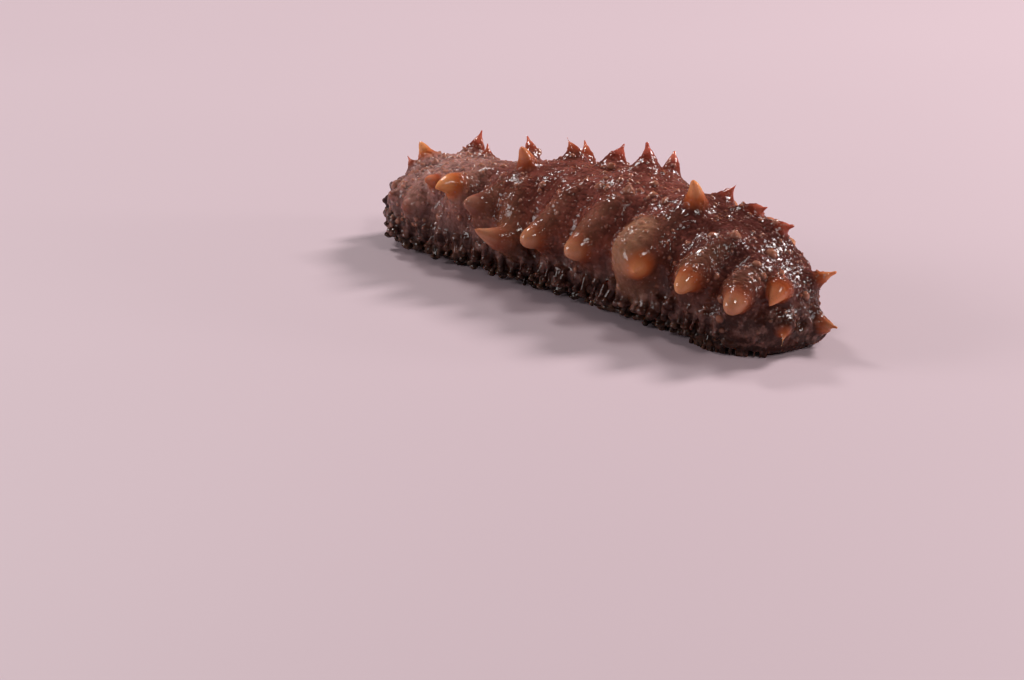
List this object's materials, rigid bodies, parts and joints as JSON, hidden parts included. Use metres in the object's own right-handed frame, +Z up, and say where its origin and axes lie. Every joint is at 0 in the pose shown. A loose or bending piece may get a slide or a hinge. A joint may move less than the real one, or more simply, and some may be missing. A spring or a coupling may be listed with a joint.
{
  "type": "sea cucumber",
  "caption": "Spiny sea cucumber, life size and still: a sausage-shaped body on a flat sole with tube feet, pointed papillae on its back and sides, and drawn-in tentacles round the mouth.",
  "frame": {"origin": "on the floor, below the middle of the animal's outline", "axes": "+X runs along the body to the vent end, with the mouth end at -X; -Y is the flank that faces the viewer; +Z is up from the sole to the back"},
  "size_m": [0.0989, 0.0362, 0.0243],
  "materials": {
    "skin": "gloss",
    "sole": "gloss",
    "tentacles": "gloss"
  },
  "bodies": {
    "root": {"tentacle_crown": "tentacles", "head": "skin", "trunk_front": "skin", "trunk_middle": "skin", "trunk_rear": "skin", "tail": "skin", "sole_front": "sole", "sole_middle": "sole", "sole_rear": "sole"}
  },
  "joints": []
}
